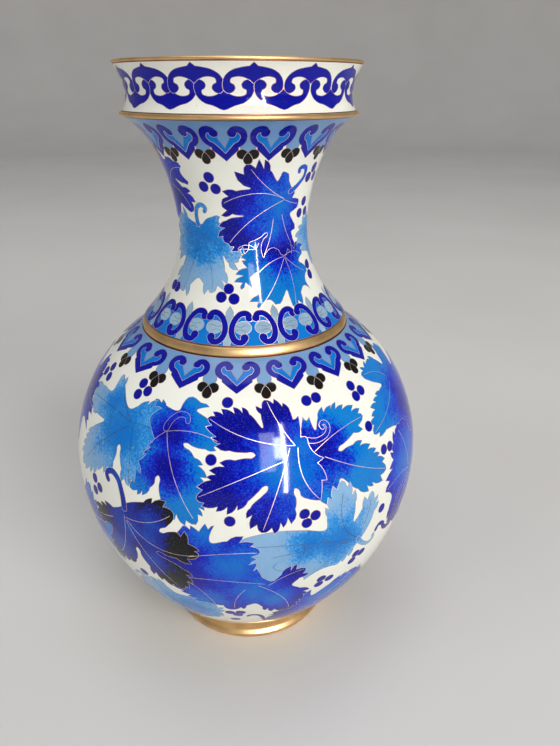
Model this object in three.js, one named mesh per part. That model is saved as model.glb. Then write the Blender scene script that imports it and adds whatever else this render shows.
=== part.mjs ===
// A cloisonne vase: a globular belly on a brass foot ring, a waisted neck and a waisted dish mouth.
// Units are millimetres, +Z is up, and the origin is the centre of the circle that the foot stands on.
// The wall is built as the real one is: soldered sheet-copper shells, an enamel skin on the outside in
// one band per field of the decoration, a counter-enamel lining on the inside, and four brass rings.
// Every piece is turned about Z. The cloison wires and the coloured cells are fine surface detail.
import * as THREE from "three";

// ---- Driving dimensions ----------------------------------------------------------------------------

// The belly is a sphere, pressed in above its widest line and drawn down below it.
const BELLY = { r: 94, z: 110.5, press: -0.126, drop: 0.346, power: 1.4 };

// The neck and the mouth are waists: a slimmest ring, and what the radius gains up to each end.
const NECK = {
  r: 31.9,
  z: 234,
  below: { z: 188.7, gains: [[19.6, 2.27]] }, // each gain is a length and the power it grows by
  above: { z: 282.6, gains: [[15, 1.9], [5.6, 8]] },
};
const MOUTH = {
  r: 50.9,
  z: 291,
  below: { z: 285.1, gains: [[2.0, 1.8]] },
  above: { z: 303.2, gains: [[4.1, 1.8]] },
};

// Heights where one field of the decoration, or one copper shell, ends and the next begins.
const FOOT_Z = 13; // the belly's lower end, on the foot ring
const SHOULDER_Z = 170; // under the lappets of the shoulder
const SHOULDER_TOP_Z = 183.6; // the shoulder's enamel ends at the ring
const BELLY_TOP_Z = 183.9; // the end of the upper belly shell, inside the ring
const NECK_BASE_Z = 184.2; // the end of the neck shell, inside the ring
const SCROLL_BASE_Z = NECK.below.z; // the neck's enamel begins at the ring
const STAND_R = 52.4; // radius of the neck where it stands on the shoulder, behind the ring
const SCROLL_Z = 204.5; // over the scroll border at the foot of the neck
const LAPPET_Z = 264.5; // under the hanging lappets at the top of the neck
const NECK_LIP_Z = 283.7; // the end of the neck shell, inside the ridge
const COLLAR_Z = 284; // the start of the mouth collar, inside the ridge

const ENAMEL = 0.9; // thickness of the outer enamel
const COPPER = 1.0; // thickness of the copper sheet
const LINING = 0.7; // thickness of the counter-enamel
const GAP = 0.1; // clearance between layers
const SEAM = 0.3; // clearance between neighbours in one layer

const RIM = { outer: 55.6, inner: 51.2, low: 303.5, high: 304.8, edge: 0.45 };
const RIDGE = { outer: 54.4, inner: 52.8, low: 282.9, high: 284.8, edge: 0.6 };
const SHOULDER_RING = { r: 52.35, z: 186.1, halfWidth: 2.33, sunk: 0.4, height: 1, slope: 68.7 };
const FOOT = { inner: 42.6, height: 12.7, top: 46.4, waist: 45.4, outer: 47, edge: 0.8, tread: 2.6 };
const PLATE = { r: 44.2, z: 13.1 }; // closes the belly, on top of the foot ring
const BASE_R = 42.2; // the enamelled underside, inside the foot ring
const FLOOR_WALL_Z = 15.4; // where the belly's lining turns from its floor to its wall

const AROUND = 32; // faces round each turned piece

const LOOKS = {
  copper: { color: 0xb06a45, roughness: 0.45, metalness: 1 },
  brass: { color: 0xc99a55, roughness: 0.28, metalness: 1 },
  white: { color: 0xeeeee4, roughness: 0.18, metalness: 0 },
  paleBlue: { color: 0x7ea6cf, roughness: 0.2, metalness: 0 },
  azure: { color: 0x1273c4, roughness: 0.2, metalness: 0 },
  turquoise: { color: 0x3f8fae, roughness: 0.25, metalness: 0 },
};

// ---- The outer surface: its radius at a height -----------------------------------------------------

function waistRadius(waist, z) {
  const end = z < waist.z ? waist.below : waist.above;
  const share = (z - waist.z) / (end.z - waist.z);
  return end.gains.reduce((r, [gain, power]) => r + gain * share ** power, waist.r);
}

// A belly point at a tilt above the horizontal, seen from the middle of the belly.
function bellyPoint(tilt) {
  const stretch = tilt > 0 ? BELLY.press : BELLY.drop;
  const reach = BELLY.r * (1 + stretch * (1 - Math.cos(tilt)) ** BELLY.power);
  return new THREE.Vector2(reach * Math.cos(tilt), BELLY.z + reach * Math.sin(tilt));
}

function bellyRadius(z) {
  let [low, high] = [-1.4, 1.4]; // tilts that hold the answer between them
  for (let i = 0; i < 40; i++) {
    const middle = (low + high) / 2;
    if (bellyPoint(middle).y < z) low = middle;
    else high = middle;
  }
  return bellyPoint(low).x;
}

// Below its flare the neck goes down to the shoulder as a short straight wall, behind the ring.
function neckRadius(z) {
  const top = NECK.below.z;
  if (z >= top) return waistRadius(NECK, z);
  const share = (top - z) / (top - SHOULDER_TOP_Z);
  return THREE.MathUtils.lerp(waistRadius(NECK, top), STAND_R, share);
}

const mouthRadius = (z) => waistRadius(MOUTH, z);

// Heights that every layer of the wall shares, so that the layers stay parallel facet by facet.
const LEVELS = [
  ...[FLOOR_WALL_Z, 31, 49, 69, 90, BELLY.z, 131, 150, 162, SHOULDER_Z, 178, SHOULDER_TOP_Z],
  ...[SCROLL_BASE_Z, 195, SCROLL_Z, 214, 226, 238, 252, LAPPET_Z, 274, 280, NECK.above.z],
  ...[MOUTH.below.z, 289, 295],
];
const NEAR = 0.5; // a shared level this close to an end gives way to it

function levelsBetween(low, high) {
  return [low, ...LEVELS.filter((z) => z > low + NEAR && z < high - NEAR), high];
}

// ---- Sections and turned pieces --------------------------------------------------------------------

// The line that lies at a depth under the outer surface, with its ends cut level.
function buriedLine(radius, low, high, depth) {
  const STEP = 0.05;
  return levelsBetween(low, high).map((z) => {
    const slope = (radius(z + STEP) - radius(z - STEP)) / (2 * STEP);
    return new THREE.Vector2(radius(z) - depth * Math.hypot(1, slope), z);
  });
}

// The closed section of a layer between two depths, up its outside and down its inside.
function layer(radius, low, high, near, far) {
  return [...buriedLine(radius, low, high, near), ...buriedLine(radius, low, high, far).reverse()];
}

// A section from plain [r, z] pairs, in the same order.
function section(...pairs) {
  return pairs.map(([r, z]) => new THREE.Vector2(r, z));
}

// A named mesh turned from a section, which closes on itself unless it starts and ends on the axis.
function turned(name, outline, look) {
  const points = outline[0].x === 0 ? outline : [...outline, outline[0]];
  const mesh = new THREE.Mesh(
    new THREE.LatheGeometry(points, AROUND),
    new THREE.MeshStandardMaterial(LOOKS[look]),
  );
  mesh.name = name;
  return mesh;
}

// ---- The copper body -------------------------------------------------------------------------------

const COPPER_FACE = ENAMEL + GAP; // depth of the copper's outer face
const COPPER_BACK = COPPER_FACE + COPPER;
const LINING_FACE = COPPER_BACK + GAP;
const LINING_BACK = LINING_FACE + LINING;
const PLATE_TOP_Z = PLATE.z + COPPER;

function copperBody() {
  const shell = (name, radius, low, high) =>
    turned(name, layer(radius, low, high, COPPER_FACE, COPPER_BACK), "copper");
  return [
    shell("copper_belly_lower", bellyRadius, FOOT_Z, BELLY.z - SEAM / 2),
    shell("copper_belly_upper", bellyRadius, BELLY.z + SEAM / 2, BELLY_TOP_Z),
    shell("copper_neck", neckRadius, NECK_BASE_Z, NECK_LIP_Z),
    shell("copper_mouth_collar", mouthRadius, COLLAR_Z, MOUTH.above.z),
    turned(
      "copper_base_plate",
      section([0, PLATE.z], [PLATE.r, PLATE.z], [PLATE.r, PLATE_TOP_Z], [0, PLATE_TOP_Z]),
      "copper",
    ),
  ];
}

// ---- The enamel ------------------------------------------------------------------------------------

function outerEnamel() {
  const skin = (name, radius, low, high, look) => turned(name, layer(radius, low, high, 0, ENAMEL), look);
  return [
    skin("enamel_belly_field", bellyRadius, FOOT_Z, SHOULDER_Z - SEAM, "white"),
    skin("enamel_shoulder_lappets", bellyRadius, SHOULDER_Z, SHOULDER_TOP_Z, "paleBlue"),
    skin("enamel_neck_scrolls", neckRadius, SCROLL_BASE_Z, SCROLL_Z - SEAM, "azure"),
    skin("enamel_neck_field", neckRadius, SCROLL_Z, LAPPET_Z - SEAM, "white"),
    skin("enamel_neck_lappets", neckRadius, LAPPET_Z, NECK.above.z, "paleBlue"),
    skin("enamel_mouth_band", mouthRadius, MOUTH.below.z, MOUTH.above.z, "white"),
  ];
}

// The belly's lining has a floor on top of the base plate.
function bellyLining() {
  const floorZ = PLATE_TOP_Z + SEAM;
  const face = buriedLine(bellyRadius, FLOOR_WALL_Z, BELLY_TOP_Z, LINING_FACE);
  const back = buriedLine(bellyRadius, FLOOR_WALL_Z, BELLY_TOP_Z, LINING_BACK);
  const floor = section([0, floorZ], [PLATE.r, floorZ]);
  const floorTop = section([PLATE.r - SEAM, floorZ + LINING], [0, floorZ + LINING]);
  return turned("enamel_lining_belly", [...floor, ...face, ...back.reverse(), ...floorTop], "turquoise");
}

function counterEnamel() {
  const lining = (name, radius, low, high) =>
    turned(name, layer(radius, low, high, LINING_FACE, LINING_BACK), "turquoise");
  const top = PLATE.z - GAP;
  const low = top - LINING;
  return [
    bellyLining(),
    lining("enamel_lining_neck", neckRadius, NECK_BASE_Z, NECK_LIP_Z),
    lining("enamel_lining_mouth", mouthRadius, COLLAR_Z, MOUTH.above.z),
    turned("enamel_base", section([0, low], [BASE_R, low], [BASE_R, top], [0, top]), "turquoise"),
  ];
}

// ---- The brass rings -------------------------------------------------------------------------------

// A flat hoop with its outer edges taken off.
function hoop(name, { outer, inner, low, high, edge }) {
  const outline = section(
    [inner, low],
    [outer - edge, low],
    [outer, low + edge],
    [outer, high - edge],
    [outer - edge, high],
    [inner, high],
  );
  return turned(name, outline, "brass");
}

// The low rounded band round the joint of belly and neck.
function shoulderRing() {
  const { r, z, halfWidth, sunk, height, slope } = SHOULDER_RING;
  const arc = new THREE.EllipseCurve(0, -sunk, halfWidth, height, 0, Math.PI).getPoints(7);
  const tilt = THREE.MathUtils.degToRad(-slope);
  const middle = new THREE.Vector2();
  const outline = arc.map((p) => p.rotateAround(middle, tilt).add(new THREE.Vector2(r, z)));
  return turned("brass_shoulder_ring", outline, "brass");
}

// The foot: a waisted ring with a flat tread.
function footRing() {
  const { inner, height, top, waist, outer, edge, tread } = FOOT;
  const outline = section(
    [inner, 0],
    [outer - edge, 0],
    [outer, edge],
    [outer, tread],
    [waist, tread + 2],
    [waist, height - 3],
    [top, height],
    [inner, height],
  );
  return turned("brass_foot_ring", outline, "brass");
}

// ---- The vase --------------------------------------------------------------------------------------

const vase = new THREE.Group();
vase.rotation.x = Math.PI / 2; // a lathe turns about Y, and the vase stands along Z
vase.add(...copperBody(), ...outerEnamel(), ...counterEnamel());
vase.add(hoop("brass_rim", RIM), hoop("brass_mouth_ridge", RIDGE), shoulderRing(), footRing());

export default vase;
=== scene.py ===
"""The looks of a cloisonne vase: its enamel cells, cloison wires and turned metal, with light and camera.

Each field of the decoration is drawn flat and then wrapped onto the body. The drawing's x is the angle
round the vase in degrees, 0 at the front and growing to the right, and its y is the climb up the surface
in the same measure, so a shape keeps its angles and proportions on the curved wall.
Outlines are laid one over another, like cut paper, and the topmost one owns each spot. Every owner
becomes closed slabs of enamel, and a wire stands wherever two cells meet.
"""

import math
import random

import bpy
import numpy as np
from mathutils import Matrix, Vector
from mathutils.geometry import delaunay_2d_cdt
from mathutils.kdtree import KDTree


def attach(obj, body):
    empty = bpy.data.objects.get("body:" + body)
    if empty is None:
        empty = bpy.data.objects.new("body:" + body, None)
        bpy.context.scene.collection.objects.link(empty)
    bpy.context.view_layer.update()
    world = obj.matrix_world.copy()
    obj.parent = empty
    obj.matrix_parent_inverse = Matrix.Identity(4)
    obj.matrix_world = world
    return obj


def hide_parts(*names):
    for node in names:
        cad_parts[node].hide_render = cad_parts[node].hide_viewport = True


MM = 0.001
SEED = 7

ENAMEL = 0.9 * MM  # thickness of the outer enamel
WIRE_WIDTH = 0.42 * MM
VEIN_WIDTH = 0.36 * MM
WIRE_RISE = 0.035 * MM  # how far a wire's crown stands over the enamel
WIRE_HEIGHT = 0.8 * MM  # how deep a wire's foot stands under the enamel's face
ROUND = 160  # faces round each turned piece
RING_GAP = 1.0 * MM  # CAD rings nearer each other than this count as one
ON_AXIS = 1e-6  # a radius under this, in metres, is a point on the axis

# The heights where each drawing's y is 0: the widest ring of the belly and the slimmest of the others.
BELLY_ZERO = 110.5 * MM
NECK_ZERO = 234 * MM
MOUTH_ZERO = 291 * MM

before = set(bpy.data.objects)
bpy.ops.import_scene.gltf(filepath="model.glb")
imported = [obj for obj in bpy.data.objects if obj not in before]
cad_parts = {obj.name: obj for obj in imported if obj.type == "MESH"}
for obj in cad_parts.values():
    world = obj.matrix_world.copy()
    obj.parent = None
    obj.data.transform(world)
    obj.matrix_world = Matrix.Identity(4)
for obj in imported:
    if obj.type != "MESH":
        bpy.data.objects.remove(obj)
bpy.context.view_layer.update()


# ---- The surface that the decoration lies on --------------------------------------------------------


def rings(*nodes, outer=True):
    """The (radius, height) of each ring of vertices on the outside, or inside, of CAD nodes, upwards."""
    widest = {}
    pick = max if outer else min
    for name in nodes:
        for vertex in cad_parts[name].data.vertices:
            height = round(vertex.co.z, 6)
            radius = math.hypot(vertex.co.x, vertex.co.y)
            widest[height] = pick(radius, widest.get(height, radius))
    found = sorted((z, r) for z, r in widest.items())
    spaced = [found[0]]
    for z, r in found[1:]:
        if z - spaced[-1][0] > RING_GAP:
            spaced.append((z, r))
    spaced[-1] = found[-1]
    return np.array([(r, z) for z, r in spaced])


def spline(points, step):
    """A smooth open curve through points, as points about step apart; its ends follow a parabola."""
    points = np.asarray(points, float)
    if len(points) < 3:
        return divided(points, step)
    gaps = np.maximum(np.hypot(*np.diff(points, axis=0).T), 1e-9)
    slopes = np.diff(points, axis=0) / gaps[:, None]
    share = (gaps[1:] / (gaps[1:] + gaps[:-1]))[:, None]
    inner = slopes[:-1] * share + slopes[1:] * (1 - share)
    tangents = np.vstack([2 * slopes[0] - inner[0], inner, 2 * slopes[-1] - inner[-1]])
    made = [points[:1]]
    for i, gap in enumerate(gaps):
        t = np.arange(1, max(1, math.ceil(gap / step)) + 1) / max(1, math.ceil(gap / step))
        t = t[:, None]
        made.append(
            (2 * t**3 - 3 * t**2 + 1) * points[i]
            + (t**3 - 2 * t**2 + t) * gap * tangents[i]
            + (3 * t**2 - 2 * t**3) * points[i + 1]
            + (t**3 - t**2) * gap * tangents[i + 1]
        )
    return np.vstack(made)


def divided(points, step):
    """A line of straight stretches, with extra points so that no stretch is longer than step."""
    points = np.asarray(points, float)
    made = [points[:1]]
    for a, b in zip(points[:-1], points[1:]):
        count = max(1, math.ceil(np.hypot(*(b - a)) / step))
        made.append(a + (b - a) * (np.arange(1, count + 1) / count)[:, None])
    return np.vstack(made)


class Surface:
    """The outer surface of one field, which places a drawing's (x, y) on the body."""

    def __init__(self, nodes, zero):
        curve = spline(rings(*nodes), 0.25 * MM)
        self.r, self.z = curve.T
        climb = np.hypot(np.diff(self.r), np.diff(self.z)) / ((self.r[1:] + self.r[:-1]) / 2)
        self.y = np.degrees(np.concatenate([[0], np.cumsum(climb)]))
        self.y -= np.interp(zero, self.z, self.y)
        self.dr = np.gradient(self.r, self.y)
        self.dz = np.gradient(self.z, self.y)
        self.low, self.high = self.y[0], self.y[-1]

    def place(self, xy, depth=0.0):
        """Points of the body and outward normals for drawing points, at a depth under the surface."""
        angle = np.radians(xy[:, 0])
        r, z = np.interp(xy[:, 1], self.y, self.r), np.interp(xy[:, 1], self.y, self.z)
        dr, dz = np.interp(xy[:, 1], self.y, self.dr), np.interp(xy[:, 1], self.y, self.dz)
        length = np.hypot(dr, dz)
        out, up = dz / length, -dr / length
        sin, cos = np.sin(angle), np.cos(angle)
        normals = np.stack([out * sin, -out * cos, up], 1)
        at = np.stack([r * sin, -r * cos, z], 1)
        return at - normals * np.asarray(depth).reshape(-1, 1), normals


# ---- Flat outlines ----------------------------------------------------------------------------------


def area_of(outline):
    """The area inside an outline, positive when it runs anticlockwise."""
    x, y = outline.T
    return float(np.sum(x * np.roll(y, -1) - np.roll(x, -1) * y)) / 2


def disc(x, y, rx, ry=None, count=22):
    """A round outline, or an oval one when ry is given."""
    turn = np.linspace(0, 2 * math.pi, count, endpoint=False)
    return np.stack([x + rx * np.cos(turn), y + (ry or rx) * np.sin(turn)], 1)


def ribbon(points, widths, step):
    """The outline of a stroke along a smooth line, with round ends; widths are spread along it."""
    line = spline(points, step)
    travel = np.concatenate([[0], np.cumsum(np.hypot(*np.diff(line, axis=0).T))])
    half = np.interp(travel / travel[-1], np.linspace(0, 1, len(widths)), widths)[:, None] / 2
    along = np.gradient(line, axis=0)
    along /= np.hypot(*along.T)[:, None]
    left = np.stack([-along[:, 1], along[:, 0]], 1)
    caps = np.radians([45, 90, 135])[:, None]
    head = line[-1] + half[-1] * (left[-1] * np.cos(caps) + along[-1] * np.sin(caps))
    tail = line[0] + half[0] * (-left[0] * np.cos(caps) - along[0] * np.sin(caps))
    return np.vstack([line + left * half, head, (line - left * half)[::-1], tail])


def pairs(text):
    """The points of a line written as 'x,y x,y ...'."""
    return np.array([[float(part) for part in word.split(",")] for word in text.split()])


class Outliner:
    """Turns a leaf's short outline into its full edge, with saw teeth.

    The outline is written as letters with a point each: T a pointed tip, H a shoulder, S the hollow
    between two lobes, F the round end of a narrow cut, and K a plain corner. Stretches between
    shoulders and tips are toothed, and the teeth lean towards the nearer tip.
    """

    def __init__(self, step, pitch, depth, cut):
        self.step, self.pitch, self.depth, self.cut = step, pitch, depth, cut

    def leaf(self, text, chance):
        kinds, points = [], []
        for word in text.split():
            kinds.append(word[0])
            points.append([float(part) for part in word[1:].split(",")])
        kinds, points = self.open_cuts(kinds, np.array(points))
        outward = -1 if area_of(points) > 0 else 1
        first = next(i for i, kind in enumerate(kinds) if kind in "TK")
        kinds = kinds[first:] + kinds[:first] + [kinds[first]]
        points = np.vstack([points[first:], points[:first], points[first : first + 1]])
        corners = [i for i, kind in enumerate(kinds) if kind in "TK"]
        edge = []
        for start, end in zip(corners[:-1], corners[1:]):
            edge.append(self.stretch(kinds[start : end + 1], points[start : end + 1], outward, chance))
        return np.vstack(edge)

    def open_cuts(self, kinds, points):
        """Gives each narrow cut a round end of its own width."""
        # How far back from the cut's end, and how far to each side, the points of its wall lie.
        wall = ((1.9, 1.05), (0.45, 0.9), (0, 0), (0.45, -0.9), (1.9, -1.05))
        made_kinds, made = [], []
        for i, (kind, point) in enumerate(zip(kinds, points)):
            if kind != "F":
                made_kinds.append(kind)
                made.append(point)
                continue
            before, after = points[i - 1], points[(i + 1) % len(points)]
            inward = point - (before + after) / 2
            inward /= np.hypot(*inward)
            across = np.array([-inward[1], inward[0]])
            across *= math.copysign(self.cut / 2, np.dot(across, before - point))
            for back, side in wall:
                made_kinds.append("S")
                made.append(point - inward * back * self.cut + across * side)
        return made_kinds, np.array(made)

    def stretch(self, kinds, points, outward, chance):
        """The edge from one corner up to the next, without its last point."""
        curve = spline(points, self.step)
        cuts = [int(np.argmin(np.hypot(*(curve - point).T))) for point in points]
        made = []
        start, last = 0, len(points) - 1
        while start < last:
            end = start + 1
            toothed = kinds[start] in "TH" and kinds[end] in "TH"
            while toothed and end < last and kinds[end + 1] in "TH":
                end += 1
            part = curve[cuts[start] : cuts[end] + 1]
            if toothed and kinds[start] == "T" and kinds[end] == "T":
                half = len(part) // 2
                away = self.teeth(part[: half + 1], False, outward, chance)
                part = np.vstack([away[:-1], self.teeth(part[half:], True, outward, chance)])
            elif toothed:
                part = self.teeth(part, kinds[end] == "T" or kinds[start] != "T", outward, chance)
            made.append(part[:-1])
            start = end
        return np.vstack(made)

    def teeth(self, part, rising, outward, chance):
        """A stretch of edge with saw teeth that lean towards its end, or its start if not rising."""
        if not rising:
            return self.teeth(part[::-1], True, -outward, chance)[::-1]
        travel = np.concatenate([[0], np.cumsum(np.hypot(*np.diff(part, axis=0).T))])
        count = max(1, round(travel[-1] / self.pitch))
        marks = np.linspace(0, travel[-1], count + 1)
        marks[1:-1] += [chance.uniform(-0.2, 0.2) * self.pitch for _ in range(count - 1)]

        def on_edge(distance):
            return np.array([np.interp(distance, travel, part[:, k]) for k in (0, 1)])

        def at(distance, lift):
            along = on_edge(distance + self.step / 2) - on_edge(distance - self.step / 2)
            along = along / max(np.hypot(*along), 1e-9)
            return on_edge(distance) + outward * lift * np.array([-along[1], along[0]])

        made = [part[0]]
        for i, (start, end) in enumerate(zip(marks[:-1], marks[1:])):
            last = i == count - 1
            depth = self.depth * chance.uniform(0.7, 1.3)
            gap = end - start
            for share, lift in ((0.3, 0.5), (0.62, 0.85)):
                made.append(at(start + share * gap, depth * lift * (0.3 if last else 1)))
            if not last:
                made.append(at(end + 0.12 * gap, depth * 1.1))
            made.append(at(end, 0))
        return np.vstack(made)


# ---- A field: flat drawing, cells and wires ---------------------------------------------------------

SEAM = 180.0  # the drawing's left and right edges, which meet at the back
BOUND_STEP = 1.5  # degrees between the points of the wires that bound a field


class Field:
    """One drawing on one surface. Outlines laid later lie over those laid earlier."""

    def __init__(self, name, nodes, zero, grid):
        self.name, self.nodes, self.grid = name, nodes, grid
        self.surface = Surface(nodes, zero)
        self.layers = []  # (piece, cell, outline)
        self.veins = {"light": [], "dark": []}
        self.pieces = {}  # each piece's look and tone

    def piece(self, piece, look, tone=lambda xy: np.zeros(len(xy))):
        """Says how a piece looks, and how its tone goes from 0 to 1 across the drawing."""
        self.pieces[piece] = (look, tone)

    def lay(self, piece, outline, cell=None):
        """Lays an outline of a piece; outlines of one cell have no wire between them."""
        cell = cell or f"{piece}#{len(self.layers)}"
        outline = np.asarray(outline, float)
        for turn in (-360, 0, 360):
            moved = outline + [turn, 0]
            if moved[:, 0].max() > -SEAM and moved[:, 0].min() < SEAM:
                self.layers.append((piece, cell, moved))

    def vein(self, points, wire="light"):
        """A wire inside a cell, smooth through its points."""
        self.veins[wire].append(spline(points, self.grid / 3))

    def ground(self, piece, low=None, high=None):
        """A band all round, from one height of the drawing to another."""
        low = self.surface.low if low is None else low
        high = self.surface.high if high is None else high
        corners = [[-SEAM, low], [SEAM, low], [SEAM, high], [-SEAM, high]]
        self.lay(piece, corners, cell=piece)

    def triangulate(self):
        """Cuts the drawing into triangles that no outline crosses."""
        low, high = self.surface.low, self.surface.high
        points, edges = [], []
        for _, _, outline in self.layers:
            start = len(points)
            points += [tuple(p) for p in outline]
            count = len(outline)
            edges += [(start + i, start + (i + 1) % count) for i in range(count)]
        tree = KDTree(len(points))
        for i, p in enumerate(points):
            tree.insert((p[0], p[1], 0), i)
        tree.balance()
        columns = round(2 * SEAM / self.grid)
        rows = max(2, round((high - low) / self.grid))
        for j in range(rows + 1):
            y = low + (high - low) * j / rows
            for i in range(columns + 1):
                x = -SEAM + 2 * SEAM * i / columns
                border = i in (0, columns) or j in (0, rows)
                if border or not tree.find_range((x, y, 0), self.grid * 0.4):
                    points.append((x, y))
        frame_start = len(points)
        points += [(-SEAM, low), (SEAM, low), (SEAM, high), (-SEAM, high)]
        edges += [(frame_start + i, frame_start + (i + 1) % 4) for i in range(4)]
        made = delaunay_2d_cdt([Vector(p) for p in points], edges, [], 0, 1e-4, False)
        xy = np.array([tuple(v) for v in made[0]])
        faces = np.array([f for f in made[2] if len(f) == 3])
        middle = xy[faces].mean(1)
        slack = 1e-5
        inside = (
            (abs(middle[:, 0]) < SEAM - slack)
            & (middle[:, 1] > low + slack)
            & (middle[:, 1] < high - slack)
        )
        return xy, faces[inside], middle[inside]

    def close_seam(self, xy, faces):
        """Joins the drawing's right edge to its left one, and returns the faces with joined corners."""
        left = [i for i in range(len(xy)) if abs(xy[i, 0] + SEAM) < 1e-3]
        swap = np.arange(len(xy))
        heights = xy[left, 1]
        for i in np.nonzero(abs(xy[:, 0] - SEAM) < 1e-3)[0]:
            nearest = int(np.argmin(abs(heights - xy[i, 1])))
            if abs(heights[nearest] - xy[i, 1]) < 2e-3:
                swap[i] = left[nearest]
        return swap[faces]

    def owners(self, middle):
        """For each triangle, the number of the topmost layer that holds it."""
        owner = np.full(len(middle), -1)
        for number, (_, _, outline) in enumerate(self.layers):
            lo, hi = outline.min(0), outline.max(0)
            near = np.nonzero(((middle >= lo) & (middle <= hi)).all(1))[0]
            if len(near):
                owner[near[holds(outline, middle[near])]] = number
        return owner

    def round_line(self, y):
        """A line all round, which bounds the field."""
        x = np.arange(-SEAM, SEAM + BOUND_STEP / 2, BOUND_STEP)
        return np.stack([x, np.full(len(x), y)], 1)

    def wires(self, name, lines, width, look):
        """One piece of wires, all of one width and metal."""
        if lines:
            finish_piece(wire_mesh(f"{self.name}_{name}", self.surface, lines, width, look))

    def build(self):
        """Makes the cells and wires, in place of the field's CAD nodes."""
        xy, faces, middle = self.triangulate()
        owner = self.owners(middle)
        joined = self.close_seam(xy, faces)
        cells = {}
        cell_numbers = [cells.setdefault(cell, len(cells)) for _, cell, _ in self.layers]
        cell_of = np.array(cell_numbers)[owner]
        made = []
        for piece, (look, tone) in self.pieces.items():
            mine = [i for i, layer in enumerate(self.layers) if layer[0] == piece]
            chosen = joined[np.isin(owner, mine)]
            if len(chosen):
                made.append(slab(piece, self.surface, xy, chosen, tone, look))
                finish_piece(made[-1])
        pale = np.array([cell.endswith(("ground", "neck_band", "shoulder_band")) for cell in cells])
        inner, outer = self.borders(joined, cell_of, pale)
        bounds = [self.round_line(self.surface.low), self.round_line(self.surface.high)]
        self.wires("wires", chains(outer, xy) + bounds, WIRE_WIDTH, "edge_wire")
        self.wires("light_veins", self.veins["light"] + chains(inner, xy), VEIN_WIDTH, "light_wire")
        self.wires("dark_veins", self.veins["dark"], VEIN_WIDTH, "dark_wire")
        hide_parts(*self.nodes)

    def borders(self, faces, cell_of, pale):
        """The edges between two deep colours, and those with a pale ground on one side."""
        seen = {}
        inner, outer = [], []
        for face, cell in zip(faces.tolist(), cell_of.tolist()):
            for a, b in zip(face, face[1:] + face[:1]):
                key = (a, b) if a < b else (b, a)
                other = seen.pop(key, None)
                if other is None:
                    seen[key] = cell
                elif other != cell:
                    (outer if pale[cell] or pale[other] else inner).append(key)
        return inner, outer


def holds(outline, points):
    """Which points lie inside an outline."""
    x, y = points[:, 0][:, None], points[:, 1][:, None]
    ax, ay = outline[:, 0], outline[:, 1]
    bx, by = np.roll(ax, -1), np.roll(ay, -1)
    crosses = (ay > y) != (by > y)
    with np.errstate(divide="ignore", invalid="ignore"):
        reach = (bx - ax) * (y - ay) / (by - ay) + ax
    return (crosses & (x < reach)).sum(1) % 2 == 1


def chains(edges, xy):
    """Joins loose edges end to end into lines, which stop where three or more meet."""
    reach = {}
    for a, b in edges:
        if abs(xy[a, 0] - xy[b, 0]) < SEAM:
            reach.setdefault(a, []).append(b)
            reach.setdefault(b, []).append(a)
    used = set()
    made = []

    def walk(start, step):
        line = [start]
        while True:
            used.add((min(start, step), max(start, step)))
            line.append(step)
            onward = [n for n in reach[step] if (min(step, n), max(step, n)) not in used]
            if len(reach[step]) != 2 or not onward:
                return line
            start, step = step, onward[0]

    ends = [n for n in reach if len(reach[n]) != 2]
    for start in ends + list(reach):
        for step in reach[start]:
            if (min(start, step), max(start, step)) not in used:
                made.append(xy[walk(start, step)])
    return made


# ---- Meshes -----------------------------------------------------------------------------------------


def finish_piece(piece):
    """Says which body a piece moves with."""
    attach(piece, "root")


def new_object(name, points, faces, material):
    mesh = bpy.data.meshes.new(name)
    mesh.from_pydata([tuple(p) for p in points], [], [tuple(f) for f in faces])
    mesh.materials.append(material)
    mesh.update()
    made = bpy.data.objects.new(name, mesh)
    bpy.context.scene.collection.objects.link(made)
    return made


def slab(name, surface, xy, faces, tone, look):
    """Enamel cells as closed slabs, from the face of the body down to the copper."""
    used, flat = np.unique(faces, return_inverse=True)
    faces = flat.reshape(faces.shape)
    count = len(used)
    top, normals = surface.place(xy[used])
    foot, _ = surface.place(xy[used], ENAMEL)
    once = {}
    for a, b in faces[:, [0, 1, 1, 2, 2, 0]].reshape(-1, 2).tolist():
        if (b, a) in once:
            del once[(b, a)]
        else:
            once[(a, b)] = True
    walls = np.array(list(once))
    sides = np.stack([walls[:, 1], walls[:, 0], walls[:, 0] + count, walls[:, 1] + count], 1)
    piece = new_object(
        name,
        np.vstack([top, foot]),
        faces.tolist() + (faces[:, ::-1] + count).tolist() + sides.tolist(),
        looks[look],
    )
    across = np.vstack([top, foot])[sides]
    flat_normals = np.cross(across[:, 1] - across[:, 0], across[:, 3] - across[:, 0])
    flat_normals /= np.maximum(np.linalg.norm(flat_normals, axis=1), 1e-12)[:, None]
    corner_normals = np.vstack(
        [normals[faces.ravel()], -normals[faces[:, ::-1].ravel()], np.repeat(flat_normals, 4, 0)]
    )
    piece.data.shade_smooth()
    piece.data.normals_split_custom_set(corner_normals.tolist())
    shade = piece.data.attributes.new("tone", "FLOAT", "POINT")
    shade.data.foreach_set("value", np.tile(np.clip(tone(xy[used]), 0, 1), 2).astype(np.float32))
    return piece


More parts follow.
